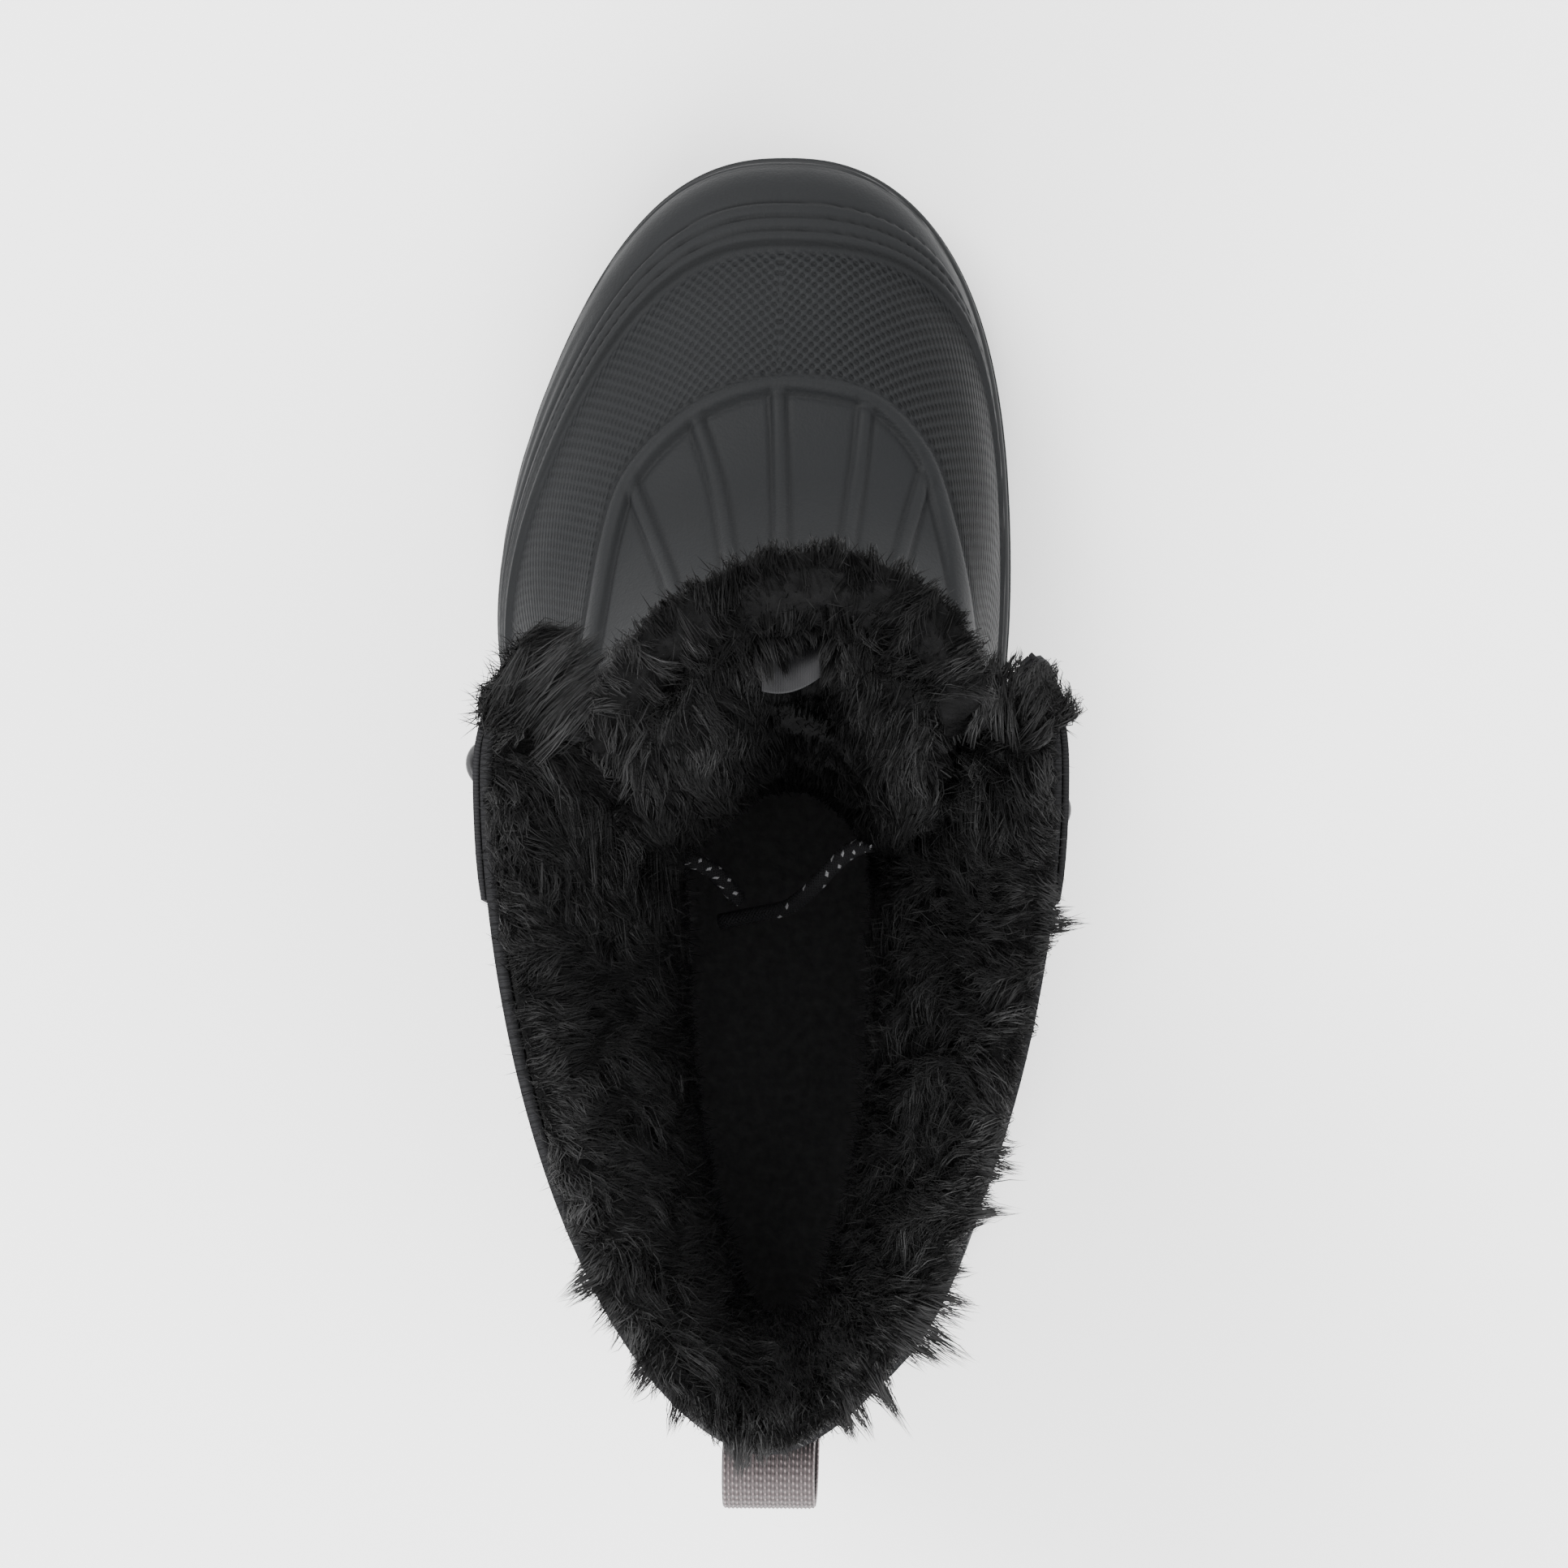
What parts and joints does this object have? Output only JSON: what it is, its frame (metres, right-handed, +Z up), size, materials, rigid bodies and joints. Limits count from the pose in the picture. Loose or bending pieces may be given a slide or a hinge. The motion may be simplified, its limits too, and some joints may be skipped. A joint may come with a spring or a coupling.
{
  "type": "snow boot",
  "caption": "Left lace-up snow boot with a lugged sole, rubber shell, textile shaft, padded tongue and deep black pile at the collar and tongue.",
  "frame": {"origin": "on the ground under the middle of the boot's box", "axes": "+X to the inner side of the foot, +Y to the toe, +Z up"},
  "size_m": [0.1396, 0.3064, 0.2379],
  "materials": {
    "rubber": "matt moulded rubber, dark grey",
    "textile": "black woven nylon",
    "pile": "deep black pile",
    "felt": "black felt",
    "webbing": "black ribbed webbing",
    "loop_webbing": "ribbed webbing, dark mauve with pale threads",
    "plastic": "black moulded plastic",
    "lace_cord": "black braided cord with pale flecks",
    "satin": "bare grey satin ribbon"
  },
  "bodies": {
    "root": {"outsole": "rubber", "upper": "textile", "insole": "felt", "tongue": "textile", "rubber_shell": "rubber", "eyestay_left": "webbing", "eyestay_right": "webbing", "lace_loop_left_1": "plastic", "lace_loop_left_2": "plastic", "lace_loop_left_3": "plastic", "lace_loop_left_4": "plastic", "lace_loop_right_1": "plastic", "lace_loop_right_2": "plastic", "lace_loop_right_3": "plastic", "lace_loop_right_4": "plastic", "lace": "lace_cord", "lace_end_left": "lace_cord", "lace_end_right": "lace_cord", "tag": "satin", "tongue_fur": "pile", "collar_fur": "pile", "pull_loop": "loop_webbing"}
  },
  "joints": []
}
